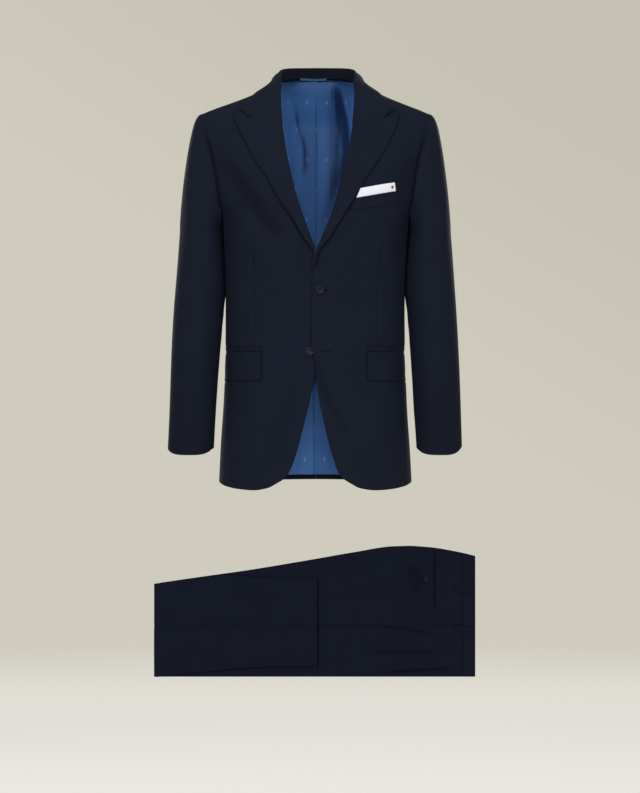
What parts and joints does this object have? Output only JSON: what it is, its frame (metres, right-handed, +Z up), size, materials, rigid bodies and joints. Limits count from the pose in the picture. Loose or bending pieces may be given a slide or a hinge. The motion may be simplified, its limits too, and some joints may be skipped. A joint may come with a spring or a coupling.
{
  "type": "two-piece suit",
  "caption": "Two-piece suit: a two-button peak-lapel jacket filled out as if worn, with flap pockets and pocket square, above its trousers folded flat.",
  "frame": {"origin": "middle of the wearer's neck base, level with the shoulder points of the jacket's neck", "axes": "+X to the wearer's left, -Y to the front, +Z up"},
  "size_m": [0.6508, 0.3023, 1.2177],
  "materials": {
    "jacket_wool": "matte, dark navy birdseye wool",
    "trouser_wool": "matte, dark navy wool",
    "lining": "satin sheen, mid blue lining with a small woven motif",
    "cotton": "matte white cotton",
    "button": "satin, near-black"
  },
  "bodies": {
    "root": {"back_left": "jacket_wool", "back_lining_left": "lining", "back_lining_right": "lining", "back_pocket_welt": "trouser_wool", "back_right": "jacket_wool", "belt_loop_back": "trouser_wool", "belt_loop_side": "trouser_wool", "breast_pocket_welt": "jacket_wool", "collar": "jacket_wool", "front_left": "jacket_wool", "front_right": "jacket_wool", "hanger_loop": "lining", "lapel_left": "jacket_wool", "lapel_right": "jacket_wool", "lower_button": "button", "pocket_flap_left": "jacket_wool", "pocket_flap_right": "jacket_wool", "pocket_jet_left": "jacket_wool", "pocket_jet_right": "jacket_wool", "pocket_square": "cotton", "side_panel_left": "jacket_wool", "side_panel_right": "jacket_wool", "top_sleeve_left": "jacket_wool", "top_sleeve_right": "jacket_wool", "trouser_button": "button", "trouser_folded_layers": "trouser_wool", "trouser_hidden_layers": "trouser_wool", "trouser_left_back": "trouser_wool", "trouser_left_front": "trouser_wool", "trouser_right_back": "trouser_wool", "trouser_right_front": "trouser_wool", "under_sleeve_left": "jacket_wool", "under_sleeve_right": "jacket_wool", "upper_button": "button", "waistband": "trouser_wool"}
  },
  "joints": []
}
